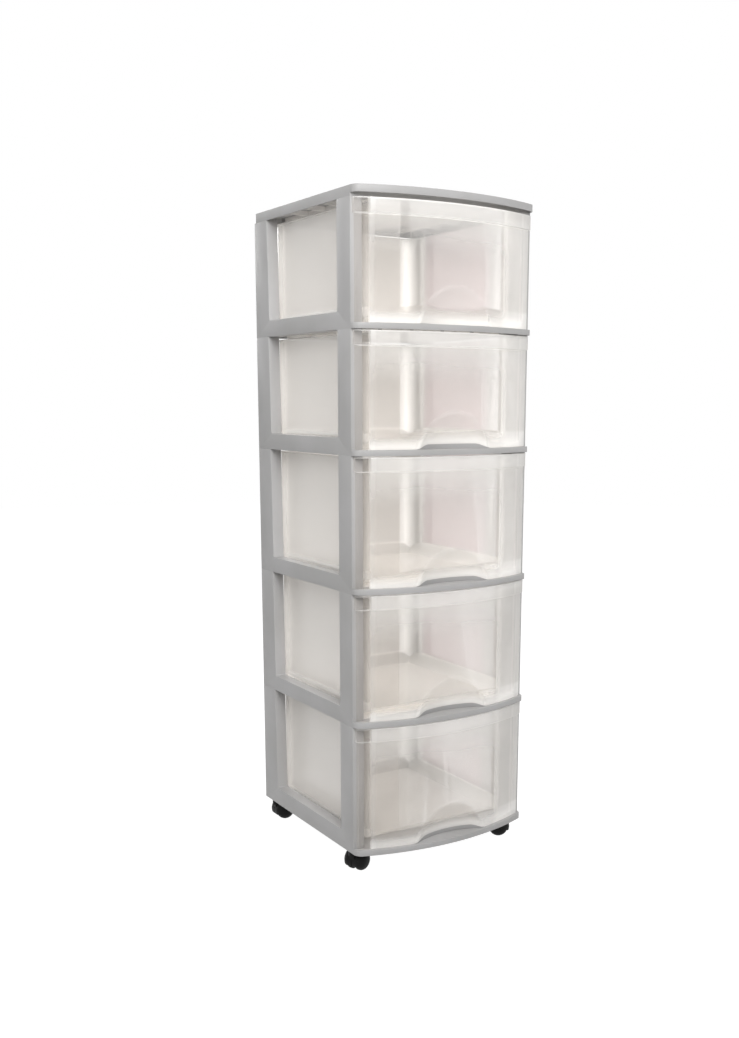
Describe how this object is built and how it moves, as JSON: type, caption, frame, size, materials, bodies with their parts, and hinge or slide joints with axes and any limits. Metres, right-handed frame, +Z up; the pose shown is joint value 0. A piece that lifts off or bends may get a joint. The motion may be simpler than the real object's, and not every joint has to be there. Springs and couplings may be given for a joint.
{
  "type": "drawer tower",
  "caption": "Tall narrow drawer tower: clear bow-fronted drawers slide in a stack of light grey side frames and decks that rolls on swivelling casters.",
  "frame": {"origin": "on the floor, under the middle of the tower", "axes": "+Z up, the drawers open towards -Y, +X to the right as seen from the front"},
  "size_m": [0.305, 0.338, 0.978],
  "materials": {
    "frame_grey": "light grey moulded plastic, satin",
    "drawer_clear": "clear, slightly milky moulded plastic",
    "caster_hood": "black moulded plastic",
    "caster_wheel": "black hard plastic",
    "caster_steel": "bright plated steel"
  },
  "bodies": {
    "tower": {"top_panel": "frame_grey", "deck_1": "frame_grey", "deck_2": "frame_grey", "deck_3": "frame_grey", "deck_4": "frame_grey", "base_deck": "frame_grey", "side_frame_left_1": "frame_grey", "side_frame_left_2": "frame_grey", "side_frame_left_3": "frame_grey", "side_frame_left_4": "frame_grey", "side_frame_left_5": "frame_grey", "side_frame_right_1": "frame_grey", "side_frame_right_2": "frame_grey", "side_frame_right_3": "frame_grey", "side_frame_right_4": "frame_grey", "side_frame_right_5": "frame_grey", "caster_front_left_bush": "caster_steel", "caster_front_left_stem": "caster_steel", "caster_front_right_bush": "caster_steel", "caster_front_right_stem": "caster_steel", "caster_rear_left_bush": "caster_steel", "caster_rear_left_stem": "caster_steel", "caster_rear_right_bush": "caster_steel", "caster_rear_right_stem": "caster_steel"},
    "drawer_1": {"drawer_1": "drawer_clear"},
    "drawer_2": {"drawer_2": "drawer_clear"},
    "drawer_3": {"drawer_3": "drawer_clear"},
    "drawer_4": {"drawer_4": "drawer_clear"},
    "drawer_5": {"drawer_5": "drawer_clear"},
    "caster_front_left": {"caster_front_left_hood": "caster_hood", "caster_front_left_axle": "caster_steel"},
    "caster_front_left_wheel_left": {"caster_front_left_wheel_left": "caster_wheel"},
    "caster_front_left_wheel_right": {"caster_front_left_wheel_right": "caster_wheel"},
    "caster_front_right": {"caster_front_right_hood": "caster_hood", "caster_front_right_axle": "caster_steel"},
    "caster_front_right_wheel_left": {"caster_front_right_wheel_left": "caster_wheel"},
    "caster_front_right_wheel_right": {"caster_front_right_wheel_right": "caster_wheel"},
    "caster_rear_left": {"caster_rear_left_hood": "caster_hood", "caster_rear_left_axle": "caster_steel"},
    "caster_rear_left_wheel_left": {"caster_rear_left_wheel_left": "caster_wheel"},
    "caster_rear_left_wheel_right": {"caster_rear_left_wheel_right": "caster_wheel"},
    "caster_rear_right": {"caster_rear_right_hood": "caster_hood", "caster_rear_right_axle": "caster_steel"},
    "caster_rear_right_wheel_left": {"caster_rear_right_wheel_left": "caster_wheel"},
    "caster_rear_right_wheel_right": {"caster_rear_right_wheel_right": "caster_wheel"}
  },
  "joints": [
    {"name": "drawer_1_slide", "type": "slide", "parent": "tower", "child": "drawer_1", "axis": [0, -1, 0], "range_m": [0, 0.19]},
    {"name": "drawer_2_slide", "type": "slide", "parent": "tower", "child": "drawer_2", "axis": [0, -1, 0], "range_m": [0, 0.19]},
    {"name": "drawer_3_slide", "type": "slide", "parent": "tower", "child": "drawer_3", "axis": [0, -1, 0], "range_m": [0, 0.19]},
    {"name": "drawer_4_slide", "type": "slide", "parent": "tower", "child": "drawer_4", "axis": [0, -1, 0], "range_m": [0, 0.19]},
    {"name": "drawer_5_slide", "type": "slide", "parent": "tower", "child": "drawer_5", "axis": [0, -1, 0], "range_m": [0, 0.19]},
    {"name": "caster_front_left_swivel", "type": "hinge", "parent": "tower", "child": "caster_front_left", "pos_m": [-0.1423, -0.1105, 0.03], "axis": [0, 0, 1], "continuous": true},
    {"name": "caster_front_left_wheel_left_spin", "type": "hinge", "parent": "caster_front_left", "child": "caster_front_left_wheel_left", "pos_m": [-0.13142, -0.10543, 0.0155], "axis": [0.4226, -0.9063, 0], "continuous": true},
    {"name": "caster_front_left_wheel_right_spin", "type": "hinge", "parent": "caster_front_left", "child": "caster_front_left_wheel_right", "pos_m": [-0.13142, -0.10543, 0.0155], "axis": [0.4226, -0.9063, 0], "continuous": true},
    {"name": "caster_front_right_swivel", "type": "hinge", "parent": "tower", "child": "caster_front_right", "pos_m": [0.1423, -0.1105, 0.03], "axis": [0, 0, 1], "continuous": true},
    {"name": "caster_front_right_wheel_left_spin", "type": "hinge", "parent": "caster_front_right", "child": "caster_front_right_wheel_left", "pos_m": [0.13142, -0.10543, 0.0155], "axis": [0.4226, 0.9063, 0], "continuous": true},
    {"name": "caster_front_right_wheel_right_spin", "type": "hinge", "parent": "caster_front_right", "child": "caster_front_right_wheel_right", "pos_m": [0.13142, -0.10543, 0.0155], "axis": [0.4226, 0.9063, 0], "continuous": true},
    {"name": "caster_rear_left_swivel", "type": "hinge", "parent": "tower", "child": "caster_rear_left", "pos_m": [-0.1423, 0.148, 0.03], "axis": [0, 0, 1], "continuous": true},
    {"name": "caster_rear_left_wheel_left_spin", "type": "hinge", "parent": "caster_rear_left", "child": "caster_rear_left_wheel_left", "pos_m": [-0.1303, 0.148, 0.0155], "axis": [0, -1, 0], "continuous": true},
    {"name": "caster_rear_left_wheel_right_spin", "type": "hinge", "parent": "caster_rear_left", "child": "caster_rear_left_wheel_right", "pos_m": [-0.1303, 0.148, 0.0155], "axis": [0, -1, 0], "continuous": true},
    {"name": "caster_rear_right_swivel", "type": "hinge", "parent": "tower", "child": "caster_rear_right", "pos_m": [0.1423, 0.148, 0.03], "axis": [0, 0, 1], "continuous": true},
    {"name": "caster_rear_right_wheel_left_spin", "type": "hinge", "parent": "caster_rear_right", "child": "caster_rear_right_wheel_left", "pos_m": [0.1303, 0.148, 0.0155], "axis": [0, 1, 0], "continuous": true},
    {"name": "caster_rear_right_wheel_right_spin", "type": "hinge", "parent": "caster_rear_right", "child": "caster_rear_right_wheel_right", "pos_m": [0.1303, 0.148, 0.0155], "axis": [0, 1, 0], "continuous": true}
  ]
}
